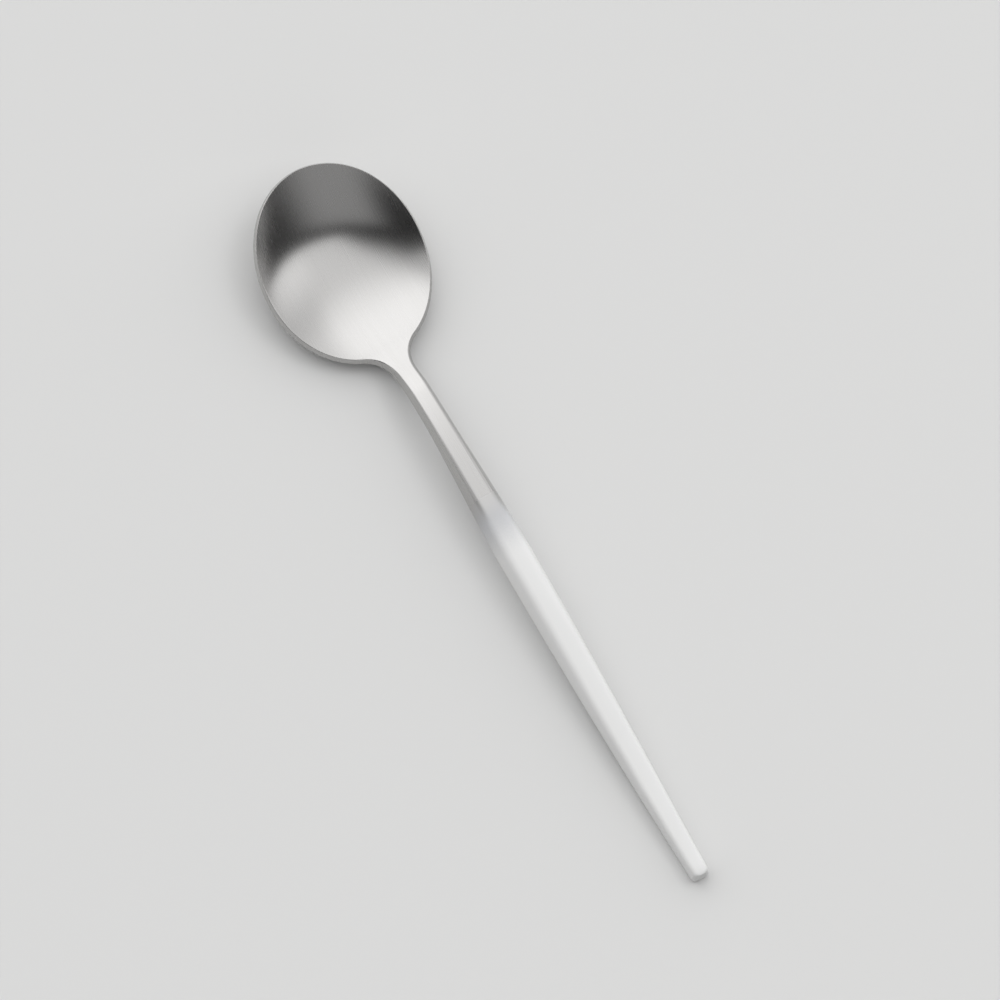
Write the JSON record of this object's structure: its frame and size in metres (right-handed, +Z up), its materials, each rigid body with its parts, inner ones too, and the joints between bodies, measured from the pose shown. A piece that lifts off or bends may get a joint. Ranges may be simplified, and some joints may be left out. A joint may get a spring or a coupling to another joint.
{
  "type": "teaspoon",
  "caption": "Slim teaspoon with a round satin steel bowl, a narrow steel neck and a thicker white matt handle bonded over the tang.",
  "frame": {"origin": "on the table, under the middle of the spoon's overall box", "axes": "+X from the handle's end to the bowl's tip, +Z up out of the bowl, +Y to the left looking along +X"},
  "size_m": [0.135, 0.0288, 0.0104],
  "materials": {
    "steel": "satin, brushed along the spoon",
    "resin": "matt white, thinning to a bluish grey at the front lip",
    "epoxy": "clear amber adhesive, hidden inside the handle"
  },
  "bodies": {
    "root": {"steel_spoon": "steel", "resin_handle": "resin", "epoxy_bond": "epoxy"}
  },
  "joints": []
}
